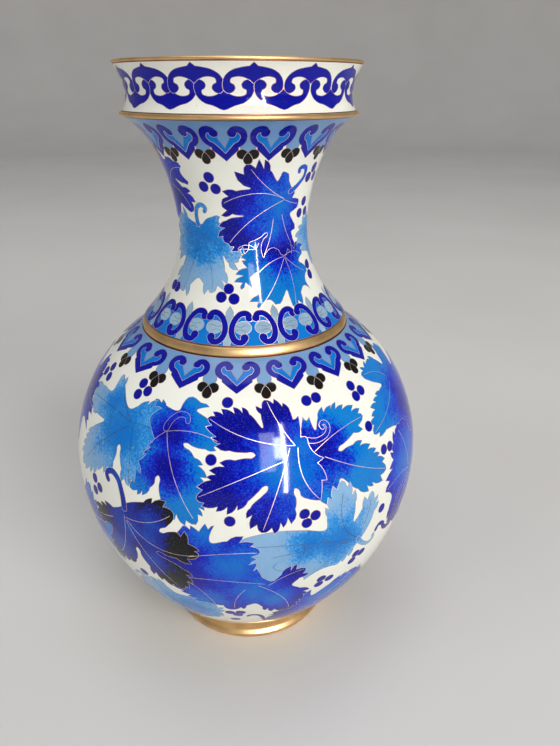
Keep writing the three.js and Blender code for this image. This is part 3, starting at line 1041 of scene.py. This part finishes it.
BELLY_LEAVES = {
    "far_right_upper": dict(
        shade="cobalt_to_azure",
        glows=[(72, 24, 22)],
        outline="T50.5,43.5 H53,40 S58.5,35.6 H55,34.8 H48.5,31 T43.2,23.8 H50,22.6 S57,20.5 H60,15"
        " T68,10.5 H73,14 S75,19 H79,15 T88,14 H87,21 S82,25 H87,27 T92,34 H85,36 S79,35 H81,40 T79,47"
        " H73,45 S70,40 H66,44.5 T60,46.5",
        veins=["66,34 55,28 44,24", "66,36 60,41 52,43"],
    ),
    "far_right_lower": dict(
        shade="azure_to_cobalt",
        glows=[(60, 7, 18)],
        outline="T56,20.5 H52,17 H49.3,10 T44.6,3.7 S48.5,0.5 H47.6,-4 H50,-9 T55,-14 H60,-11 S63,-7"
        " H66,-12 T73,-15 H76,-9 S73,-3 H79,-3 T86,0 H82,5 S75,7 H79,11 T80,17 H73,17 S68,13 H66,17"
        " T62,20.5",
        veins=["62,3 56,5 46,4", "62,4 60,12 57,19", "61,2 57,-6 55,-12"],
        stem="62,0 54,-1 49,-12 46.5,-10.5 44.8,-7.8 42.8,-7.2 41.8,-8.8",
        stem_width=1.7,
    ),
    "low_right_pale": dict(
        shade="azure_to_cobalt",
        glows=[(28, -33, 22)],
        outline="T20,-26 S21,-31 H27,-27 T37,-24.5 H43,-31 T46,-40 H40,-50 T33,-58 H24,-56 T14,-60"
        " H8,-55 T4.5,-49 H8.5,-44 T7.5,-40 S14,-36 H17,-29",
        veins=["25,-42 30,-34 36,-26", "25,-42 20,-50 17,-58", "25,-42 34,-46 42,-46"],
        stem="6,-54 4.4,-48 3.4,-43.5 1.6,-41 -0.6,-40.9 -1.8,-42.3",
        stem_width=1.6,
    ),
    "low_left_pale": dict(
        shade="azure_to_pale",
        glows=[(-26, -42, 22)],
        outline="T-34,-22.5 H-29,-25 S-26.5,-28 H-22,-28 T-13,-30 H-12,-38 T-14,-47 H-22,-50 T-30,-58"
        " H-36,-50 T-46,-46 H-43,-36 T-42,-28 H-38,-25.5",
        veins=["-27,-40 -31,-32 -34,-24", "-27,-40 -20,-36 -14,-31", "-27,-40 -30,-48 -30,-56"],
        stem="-36,-25 -40,-24 -43,-26 -43.5,-29 -42,-30.5",
        stem_width=1.4,
    ),
    "far_left_dark": dict(
        shade="cobalt_to_azure",
        glows=[(-76, 30, 34)],
        outline="T-73,40 H-71,34 T-66,33.5 S-69,29.5 T-62.5,27.5 H-67,24.5 T-64.5,18.5 S-72,20 H-73,14"
        " T-80,9 H-84,14 S-84,20 H-91,18 T-99,21 H-94,27 S-88,29 H-93,34 T-96,42 H-88,42 S-82,36 H-80,42",
        veins=["-78,30 -71,27 -64,27"],
    ),
    "left_low_blue": dict(
        shade="cobalt_to_azure",
        glows=[(-62, -10, 16)],
        outline="T-57.5,3.5 H-62,1 S-66,-3 H-72,0 T-82,2 H-79,-5 S-74,-9 H-80,-13 T-86,-22 H-77,-21"
        " S-70,-16 H-70,-23 T-65,-31 H-60,-24 S-56,-17 H-51,-20 T-46,-22 H-47,-13 T-46,-5 H-54,-3",
        veins=["-60,-10 -54,-8 -48,-7", "-60,-10 -66,-16 -74,-22"],
    ),
    "azure_middle_right": dict(
        shade="cobalt_to_azure",
        glows=[(23, 25, 15), (17, 31, 6)],
        outline="K16,31 T18.4,37 S19.4,35.6 T20.6,36.6 S21.8,32 H23.5,35.4 H28,37.2 H34,35.6 T41,30.9"
        " H35,27.4 F27.8,24 H33.5,24 H39,20.4 T45.5,11.4 H38,10.2 H32.6,10.6 S26.8,15.6 H25.4,11.2"
        " T22.4,8.8 K20.2,10.6 K17,16 K16,28",
        veins=["20,25.6 29,29.5 40,30.9", "23,23.4 33,17.6 45,11.8"],
        stem="18.6,29.4 22.5,28.9 25.6,30.4 26.3,32.4 25.2,33.8 23.9,33.2 24.3,32.2",
        stem_width=1.45,
    ),
    "pale_right": dict(
        shade="azure_to_pale",
        glows=[(26, -4, 15.5), (17, -2.5, 12)],
        outline="T27.2,15 H29,12 H31.4,6.5 S31,0.3 H34.2,3.4 T38.3,7.4 H39.2,0 S35.2,-7.4 H32.4,-10.4"
        " T26.5,-15.4 S22.5,-14.6 T16,-17.8 S14,-13 K4,-17 K-5,-6 K-6,0 S-2,2.4 S3.4,3.8 S9,4 S15.3,2.9"
        " S21.6,1.5 H21.8,5.4 H23.4,9.6",
        veins=[
            "33,-6.6 28,-1 27.3,11", "32,-7 20,-3 1,-0.6", "31.5,-7.4 18,-4.6 6,-5",
            "33.5,-6 36,-1 37.6,5", "28,-8 24,-11 18,-16", "15,-3 14,-7.6 9,-11 6.2,-9 7.4,-7.2",
        ],
        stem="33.6,-7.4 36.6,-11.2 39.4,-12.6 41,-11.6 40.7,-10",
        stem_width=1.5,
    ),
    "blue_bottom": dict(
        shade="azure_to_cobalt",
        glows=[(-5, -8, 15), (0, -20, 15), (-13, 4.5, 11), (-15, -27, 13), (1, -4, 10), (8, -26, 11)],
        outline="T-18.6,5.2 H-14.5,4 T-9.8,6.5 S-10.8,0.8 H-6.4,1.6 H-2.5,1 T2.6,-2.4 H-0.8,-5.4"
        " H-0.2,-8.6 H3,-12.8 S6.3,-15.2 H8.6,-12.7 T16,-11.7 H14.4,-16 S12.3,-18.9 H15.2,-22 H17,-27.2"
        " H15.2,-33 T14,-39 H8.8,-36.6 H3.6,-32 S1,-28.6 H-2,-30.2 T-6.3,-34 H-9.2,-32.8 K-9.6,-30.6"
        " H-15.5,-29.6 H-20.5,-25.4 T-27,-17 S-24.4,-13.4 H-28,-9 T-31,-3.5 H-26,-1.6 S-22,1",
        veins=[
            "-18,-5.6 -9,-3.2 1.6,-2.6", "-19,-15 -8,-14.4 4,-16.4", "-19.4,-17 -15,-23 -12.4,-30",
            "15.4,-12 10,-13.6 5,-17.5", "2,-17 8.6,-24 13.2,-36.4", "-2,-19 -5,-25 -6,-32",
        ],
    ),
    "cobalt_left": dict(
        shade="cobalt_to_azure",
        glows=[(-25, 32, 13), (-24.5, 21, 13)],
        outline="T-20,45 H-17,43.4 T-13.2,42 S-17.4,40.3 H-13.5,38 H-10.4,34.4 T-8,31 H-13,28.5"
        " F-20,29.3 H-16,25.6 H-13.8,20 H-13.9,13 T-14.8,6.2 H-20.4,8.4 H-25.4,12.2 F-26.6,18.6"
        " H-29,14.4 T-36.2,12.2 H-35,18 K-38,28 K-36,36 T-34,41.5 H-29,40 S-23.6,39.6 H-22.8,42.4",
        veins=["-26.2,32 -23,22 -15.6,8", "-26.2,32 -19,33.2 -9.4,31", "-26.4,32 -30,28.6 -33,23"],
        stem="-26.8,33 -25.4,36.2 -22.8,38.3 -20.4,38 -19.8,36.4",
        stem_width=1.9,
    ),
    "pale_left": dict(
        shade="azure_to_pale",
        glows=[(-43, 29, 25), (-52, 34, 12)],
        outline="T-56,44.4 H-51.5,41.2 S-42.6,35.2 H-40.2,37 H-36,38.4 T-30.4,38.8 S-33.6,34 S-32,31.5"
        " T-30,28.8 H-33,25 H-34.4,20.4 T-36.8,12.3 H-40.2,16.4 F-43,23.2 H-44.2,17.2 H-51,13 T-63.6,8"
        " H-62.4,15 H-59.6,22 S-54,27 H-60,27 T-69.8,31 H-65,35.6 S-56.4,37.4 H-56.4,40.6",
        veins=[
            "-40.4,31 -48,37 -54.4,43.4", "-40.6,31.2 -53,32.3 -67.6,31", "-41,30 -50,22.4 -60,11.6",
            "-39.6,30.6 -38,23 -36.9,13.6", "-39.8,31 -36,31.8 -31.4,31",
        ],
    ),
    "black_edged": dict(
        shade="royal_to_black",
        glows=[(-38, -1, 13), (-43, -10, 10), (-31, -11, 10), (-29, 3, 9), (-31, -2, 9), (-41, 12, 13)],
        outline="T-21.2,8.3 H-25.5,9.8 H-31,9.2 S-38,6.2 S-40,4.4 H-43.5,2.6 H-48.4,0.6 T-54,-4.6"
        " H-49,-5.6 S-45.9,-5.4 H-47.3,-9.6 H-48,-15 T-50,-19.6 H-44.5,-18 H-38,-15.6 F-35.4,-8.4"
        " H-32.4,-15.6 H-28.6,-19.6 T-22.4,-23 H-19.9,-17.6 H-20.2,-11.4 F-28,-6.9 H-21.6,-7.2"
        " T-14.7,-4.7 H-16.8,-1.4 T-21,2.6 F-26,1.4 H-23,4.4",
        veins=[
            "-38,1.6 -30,3 -22.4,7.4", "-37.6,1 -30,-4.2 -16,-4.8", "-38,0.6 -33,-8 -24,-21",
            "-38.6,2 -39.6,-6 -45,-16", "-44,-1 -48,-2.6 -52.4,-4",
        ],
        stem="-38.4,4.6 -39.4,9.6 -41.6,13.2 -44.6,14.2 -46.6,12.6 -45.6,11",
        stem_width=1.9,
    ),
    "cobalt_top": dict(
        shade="azure_to_cobalt",
        # The third glow, at 9,22.5, is partly the leaf's azure and partly painted sheen: it lightens the leaf
        # round the place where the belly mirrors the strip lamp.
        glows=[(14, 20, 18), (17, 28, 12), (9, 22.5, 16)],
        outline="T-13.2,38.2 H-6,40 H0.6,39.8 S4.7,35.2 H4.4,39.6 T6,44.6 H10.4,42.4 H14.5,39.6"
        " S15.2,36.7 T16.9,37.6 S16.9,34 K16.4,30.8 S18.1,30.5 K18.4,28.6 S19.4,26 K22.6,23.2 K20.3,22.2"
        " S22,19.4 K22.5,16.6 K20.9,16.9 S20.6,14 K20,11.2 S16,12.6 F12.8,16.2 H12.4,10.2 H8.4,7 T3,4.2"
        " H1.4,7.8 H0.2,12 F5,17.8 H-0.4,14 H-7,12.2 T-14.8,14 H-12,18 H-8.4,22.4 H-4,25.6 F1.9,27"
        " H-5.6,28.4 H-9.4,31.4 H-10.8,34.6",
        veins=[
            "14,28.6 5,30.4 -12.6,38", "14.2,28.6 11,34 7,43.8", "12.4,28 10,22 3.4,5",
            "10,24.4 0,21 -14,14.6", "15,27.8 15.4,19 19.6,11.8",
        ],
    ),
}

BELLY_BERRIES = (
    "-7,44 -11,25.5 -5.5,8 42,27 43,-1 -37,-21.5 -7,-48 21.3,42.2 25.3,42.5 46,17.6 49.4,17.1"
    " -43,45.2 -39.2,43 -43,40.7 42,42.2 42,38 45.6,39 15,8.2 18.2,7 15.6,5.2"
    " -53.2,7.8 -50.2,6 -53,3.8 -67,43.2 -70,39.8 -65,39.4 34.4,-14.8 33.4,-17.6 37,-15.6"
    " 22.4,-20.4 22,-23.6 25.6,-22 -4.3,-37.2 -8.2,-37.8 -5.4,-40.3"
)

NECK_LEAVES = {
    "far_left_dark": dict(
        shade="cobalt_to_azure",
        glows=[(-58, 34, 52)],
        outline="T-57,56.4 H-50,54 T-44.2,50.8 S-46.6,48.6 T-41.5,40.2 H-46,38.6 S-56.5,41 H-50,35.4"
        " H-45,30 T-42.6,17.2 H-51,18.6 S-58,22 H-62,14 T-72,8 H-76,16 S-76,24 H-86,22 T-98,24 H-92,32"
        " S-84,36 H-92,42 T-98,52 H-86,52 S-78,48 H-76,56 T-72,62 H-66,60 S-63,54 H-60,55",
        veins=["-66,40 -56,48 -46,50", "-66,36 -56,32 -45,20"],
    ),
    "far_right_pale": dict(
        shade="azure_to_pale",
        glows=[(82, -6, 34)],
        outline="T49.6,-4.7 H56,-1.2 H62,4 T70,13 S76,8 H80,12 T88,20 H92,12 S92,4 H100,6 T110,2 H104,-6"
        " S98,-9 H102,-16 T104,-26 H96,-25 S90,-18 H86,-26 T80,-36 H74,-30 S70,-22 H64,-20 H58.8,-10.6",
        veins=["82,-6 68,-5 52,-4.8"],
    ),
    "low_right": dict(
        shade="cobalt_to_azure",
        glows=[(33, -14, 34)],
        outline="K38,-6 K40,-9 H46.4,-12 H53.2,-14.3 T57.6,-21.2 S51.3,-26.2 H56.2,-29.6 T59.6,-36.1"
        " S55.1,-38.9 T55.9,-49.8 S49.4,-45.2 H44.1,-49.1 T35.2,-58.3 H33,-52.2 S32,-45 H28,-49.3"
        " T20.7,-53.6 S17.9,-50.3 T8.9,-55.4 H9.9,-45.5 S11.2,-35.7 S10.5,-29.4 H4.3,-33.1 T-2.5,-41.6"
        " H-0.4,-31.8 H2.2,-23.5 H1,-16.3 T-4.4,-11 K-2,-8.6 K6,-3 K20,3.4 K34,-3",
        veins=[
            "35.2,-19.5 24.9,-21.3 11.8,-29.2", "34.8,-20.3 26.5,-34.7 10.6,-53.9",
            "35.4,-20.5 39.2,-33.7 36.2,-56", "35.8,-19.9 43.4,-26.8 55.5,-34.5",
            "35.8,-18.9 43.8,-16.5 53.6,-19.9", "-4.6,-10.2 0,-7.6 5,-7.8 9.4,-10.4",
            "-4.6,-10.8 2,-10.6 9.4,-10.8 12.6,-6",
        ],
    ),
    "azure_left": dict(
        shade="azure_to_pale",
        glows=[(-36, 2, 46)],
        outline="T-18.2,14.9 H-25,14.4 S-31,12 S-35,8 S-43,8.3 H-51,11 T-62.4,13.6 H-66,5 H-69,-7"
        " H-66.3,-17.8 T-65.8,-26.6 S-56.4,-21.4 H-58.3,-29.6 H-58.1,-39.2 T-51.9,-48 H-44.5,-42"
        " S-37.5,-35.6 H-31.8,-39.2 T-23.9,-45.1 H-19.2,-36.6 H-15.4,-27.8 S-16.6,-16 H-12.3,-21.5"
        " T-3.8,-18.5 H-2.4,-12 K-8,-5 K-12,0 H-15.4,8 S-19.6,10.8",
        veins=[
            "-37.4,0 -42.9,-15.9 -50.5,-45.2", "-35,-2 -29.3,-16.9 -24.3,-42.5",
            "-38,1 -51,-1 -65.9,-8", "-35,0 -26,-5 -9,-16",
        ],
        stem="-39.2,7 -40,15.6 -37.4,22 -33.6,23.4 -30.4,21 -31.4,18.4",
        stem_width=3.6,
    ),
    "cobalt_middle": dict(
        shade="azure_to_cobalt",
        glows=[(28, 20, 36), (45, 41, 26), (26, 4, 16)],
        outline="T3.2,54.4 H9,51.4 H19,49.4 S26,41.8 H27.6,45 T31,47.6 H35.4,41 S38.8,36 H43.6,31"
        " S42,27.6 H46.8,26.4 T50.4,22 H46.2,17.6 S41.6,15.2 H45.4,8.4 T48.5,1.2 S44.4,0 H45.6,-6.4"
        " H41.9,-11 T35,-18.7 H29.9,-13.4 S25,-11 T16.1,-18.3 S14.4,-9.6 F20,1.4 H4.4,-5.6 H-4,-9.2"
        " T-12.4,-6.3 H-16.4,-2 H-14.6,6 H-12.6,12.4 S0.6,16 H-8,17.6 H-13.6,22 T-16,25.8 H-10.4,31"
        " H-4,35.2 S6,37.2 H0,40.2 H1.2,46",
        veins=[
            "34,27 18,32.6 -14,26", "33.6,26.6 15,18 -11,-5.4", "33,28 20,36 6,50.6",
            "25,12.6 23,0 16.9,-16", "33,15 38,1 43.6,-9.6", "34.6,26.6 41,24 49,22.2",
        ],
        stem="38.4,32.6 46,37.6 50.8,43.6 50,48.4 46.4,50.2 43.2,48.8 43.6,46.8",
        stem_width=3.3,
    ),
}

NECK_BERRIES = (
    "-23,44.6 -28.4,37.6 -19.2,36.4 -11.5,-41.2 -16.5,-47.4 -7.4,-48.2 62.4,48 57,41.4 67.6,41.2"
    " 59.2,22.6 54,13.6 64.4,13.8 63.7,-31.4 63.3,-39.7 -58.5,-46.9 -64,-46.6"
)

# The back repeats these leaves, mirrored and turned half round.
BELLY_BACK = [
    "azure_middle_right", "pale_right", "blue_bottom", "cobalt_left", "pale_left", "black_edged",
    "cobalt_top",
]
NECK_BACK = ["low_right", "azure_left", "cobalt_middle"]
# The belly's two sides are filled with more of its leaves: name, 1 or -1 for mirrored, and the move round.
BELLY_SIDES = [
    ("cobalt_top", -1, 110),
    ("blue_bottom", -1, 98),
    ("low_right_pale", 1, 43),
    ("blue_bottom", 1, -98),
    ("low_left_pale", -1, 108),
]
BELLY_SIDE_BERRIES = (
    "86,-1 90,-2.6 87,-5.4 128,43 131.5,40.2 126.8,39.4 133,6 137,4 133.4,1 -99,42 -103,39.4 -98.6,38"
    " -88,6 -92,3.6 -87.6,1.4 -104,12 61,-20 65,-22 61.6,-25 -64,-36 -68,-38 -64,-40.6"
)
NECK_SIDE_BERRIES = "104,36 111,36.4 107.6,42.8 -104,-40 -111,-40.4 -107.4,-46.6"

STEM_TAPER = (1.15, 1, 1, 0.9)  # a stem's width along it, in shares of stem_width
BACK_REACH = 72  # berries further round than this have no twin at the back


def mover(facing, shift):
    """A function that mirrors drawing points if facing is -1, and moves them round by shift."""
    return lambda xy: np.asarray(xy, float) * [facing, 1] + [shift, 0]


def leaf_tone(glows, turn):
    """Grows from 0 at the nearest glow's middle to 1 at its reach."""
    glows = [(turn(np.array([[x, y]], float))[0], reach) for x, y, reach in glows]

    def tone(xy):
        far = [
            np.hypot((xy[:, 0] - x + SEAM) % (2 * SEAM) - SEAM, xy[:, 1] - y) / reach
            for (x, y), reach in glows
        ]
        return np.min(far, axis=0)

    return tone


def draw_leaf(field, outliner, name, leaf, turn, chance):
    """Lays one leaf with its veins and its stem, moved or mirrored by turn."""
    piece = f"{field.name}_leaf_{name}"
    field.lay(piece, turn(outliner.leaf(leaf["outline"], chance)), piece)
    field.piece(piece, leaf["shade"], leaf_tone(leaf["glows"], turn))
    if "stem" in leaf:
        widths = np.array(STEM_TAPER) * leaf["stem_width"]
        stem = ribbon(pairs(leaf["stem"]), widths, field.grid / 3)
        field.lay(piece, turn(stem), piece + "_stem")
    for vein in leaf["veins"]:
        field.vein(turn(pairs(vein)), "dark" if leaf["shade"] == "azure_to_pale" else "light")


def draw_leaves(field, outliner, leaves, back, sides=()):
    """Lays the leaves of the sides, then those of the back, and those of the front over them."""
    chance = random.Random(SEED)
    for number, (name, facing, shift) in enumerate(sides):
        draw_leaf(field, outliner, f"{name}_side_{number + 1}", leaves[name], mover(facing, shift), chance)
    for name, leaf in leaves.items():
        if name in back:
            draw_leaf(field, outliner, name + "_back", leaf, mover(-1, SEAM), chance)
    for name, leaf in leaves.items():
        draw_leaf(field, outliner, name, leaf, mover(1, 0), chance)


def draw_berries(field, berries, side_berries, size):
    """Lays the front's berries with their twins at the back, and those of the sides; size goes by y."""
    name = field.name + "_berries"
    field.piece(name, "cobalt")
    places = []
    for point in pairs(berries):
        places.append(point)
        if abs(point[0]) < BACK_REACH:
            places.append(mover(-1, SEAM)(point))
    for x, y in places + list(pairs(side_berries)):
        field.lay(name, disc(x, y, size(y), count=18))


def belly_berry(y):
    """The angle that a berry of one size spans, which grows as the belly narrows."""
    return 1.55 * math.cosh(math.radians(y))


def neck_berry(y):
    return 3.9


def belly_field():
    """White enamel with leaves and berries, up to the lappets of the shoulder."""
    field = Field("belly", ["enamel_belly_field", "enamel_shoulder_lappets"], BELLY_ZERO, grid=2.1)
    field.ground("belly_ground")
    field.piece("belly_ground", "white")
    outliner = Outliner(step=0.5, pitch=3.0, depth=1.7, cut=1.5)
    draw_leaves(field, outliner, BELLY_LEAVES, BELLY_BACK, BELLY_SIDES)
    draw_berries(field, BELLY_BERRIES, BELLY_SIDE_BERRIES, belly_berry)
    shoulder_border(field)
    return field


def neck_field():
    """White enamel with leaves and berries, between the scrolls and the lappets."""
    nodes = ["enamel_neck_field", "enamel_neck_scrolls", "enamel_neck_lappets"]
    field = Field("neck", nodes, NECK_ZERO, grid=3.2)
    field.ground("neck_ground")
    field.piece("neck_ground", "white")
    outliner = Outliner(step=0.9, pitch=6.2, depth=4.8, cut=2.6)
    draw_leaves(field, outliner, NECK_LEAVES, NECK_BACK)
    draw_berries(field, NECK_BERRIES, NECK_SIDE_BERRIES, neck_berry)
    scroll_border(field)
    neck_border(field)
    return field


def mouth_field():
    """White enamel with the chain of crescents."""
    field = Field("mouth", ["enamel_mouth_band"], MOUTH_ZERO, grid=2.0)
    field.ground("mouth_ground")
    field.piece("mouth_ground", "white")
    mouth_border(field)
    return field


for make_field in (belly_field, neck_field, mouth_field):
    make_field().build()

BRASS = ("brass_rim", "brass_mouth_ridge", "brass_shoulder_ring", "brass_foot_ring")
LINING = ("enamel_lining_belly", "enamel_lining_neck", "enamel_lining_mouth", "enamel_base")
COPPER = (
    "copper_belly_lower", "copper_belly_upper", "copper_neck", "copper_mouth_collar", "copper_base_plate",
)
# The nodes of each look, and the radius of their rounded edges.
TURNED = (("brass", BRASS, 0.5 * MM), ("lining", LINING, 0.2 * MM), ("copper", COPPER, 0.1 * MM))
for look, nodes, fillet in TURNED:
    for node in nodes:
        turned(node, fillet, look)


# ---- The studio -------------------------------------------------------------------------------------

FLOOR_SIDES = 96


def studio_floor():
    """A pale floor that sweeps up into a wall all round, far from the vase."""
    look = Look("studio_floor", 0.9, shine=0.0)
    look.colour(look.ramp(look.noise(3, 3), [(0.3, (208, 206, 203)), (0.7, (214, 212, 209))]))
    flat, bend, top = 3.0, 1.2, 5.0
    profile = [(flat + bend, top)]
    for angle in np.radians(np.linspace(90, 0, 13)):
        profile.append((flat + bend * math.sin(angle), bend * (1 - math.cos(angle))))
    profile += [(1.0, 0), (0.4, 0), (0, 0)]
    revolved("studio_floor", profile, look.material, FLOOR_SIDES)


def softbox(name, foot, head, aim, width, power, colour=(1, 1, 1)):
    """A soft light that stands from foot to head and faces an aim."""
    foot, head, aim = Vector(foot), Vector(head), Vector(aim)
    middle = (foot + head) / 2
    up = (head - foot).normalized()
    back = middle - aim
    back = (back - up * back.dot(up)).normalized()
    light = bpy.data.lights.new(name, "AREA")
    light.shape = "RECTANGLE"
    light.size, light.size_y = width, (head - foot).length
    light.energy = power
    light.color = colour
    lamp = bpy.data.objects.new(name, light)
    turn = Matrix([up.cross(back), up, back]).transposed().to_4x4()
    lamp.matrix_world = Matrix.Translation(middle) @ turn
    lamp.visible_camera = False
    bpy.context.scene.collection.objects.link(lamp)
    return lamp


def daylight():
    """A faint even light from all round."""
    world = bpy.data.worlds.new("studio")
    world.use_nodes = True
    background = world.node_tree.nodes["Background"]
    background.inputs["Color"].default_value = (0.94, 0.96, 1.0, 1)
    background.inputs["Strength"].default_value = 0.44
    bpy.context.scene.world = world


# Each lamp's foot and head, its width in metres, its power in watts and its colour.
# The glaze mirrors a bright strip and two panes beside it, which light nothing else.
MIRRORED_LAMPS = {
    "strip": ((0.45, -1.2, 0.02), (0.42, -0.89, 0.95), 0.045, 12.5, (1, 0.99, 0.97)),
    "window": ((0.25, -1.23, 0.36), (0.24, -1.02, 0.88), 0.2, 4.5, (0.9, 0.95, 1)),
    "pane": ((0.4, -1.16, 0.52), (0.385, -1.05, 0.81), 0.12, 5.5, (0.95, 0.97, 1)),
}
# The key and the fill light the vase and the floor, and show in no reflection.
SHADING_LAMPS = {
    "key": ((1.45, -2.15, 0.75), (1.25, -1.85, 1.85), 1.4, 52, (1, 0.985, 0.96)),
    "fill": ((-2.3, -1.05, 0.6), (-2.1, -1.05, 1.9), 1.3, 12.5, (0.95, 0.97, 1)),
}
OVERHEAD = ((0, -0.7, 2.4), (0, 0.7, 2.4), 1.4, 14.5)


def studio_light():
    """A large key from the front right, a fill, an overhead, and the lamps that the glaze mirrors."""
    daylight()
    belly_front = (0.015, -0.09, 0.15)
    middle = (0, 0, 0.15)
    for name, (foot, head, width, power, colour) in MIRRORED_LAMPS.items():
        softbox(name, foot, head, belly_front, width, power, colour).visible_diffuse = False
    for name, (foot, head, width, power, colour) in SHADING_LAMPS.items():
        softbox(name, foot, head, middle, width, power, colour).visible_glossy = False
    foot, head, width, power = OVERHEAD
    softbox("overhead", foot, head, middle, width, power)


def camera():
    """Looks down at the front of the vase from a little above its rim."""
    height, back = 0.2952, 0.304
    turned_right, tilted_down, roll = 3.49, 25.43, 0.1
    data = bpy.data.cameras.new("camera")
    data.sensor_width = 36
    data.lens = 29.24
    data.clip_start = 0.01
    made = bpy.data.objects.new("camera", data)
    made.matrix_world = (
        Matrix.Translation((0, -back, height))
        @ Matrix.Rotation(math.radians(-turned_right), 4, "Z")
        @ Matrix.Rotation(math.radians(90 - tilted_down), 4, "X")
        @ Matrix.Rotation(math.radians(roll), 4, "Z")
    )
    bpy.context.scene.collection.objects.link(made)
    bpy.context.scene.camera = made


studio_floor()
studio_light()
camera()
bpy.context.scene.view_settings.view_transform = "Standard"
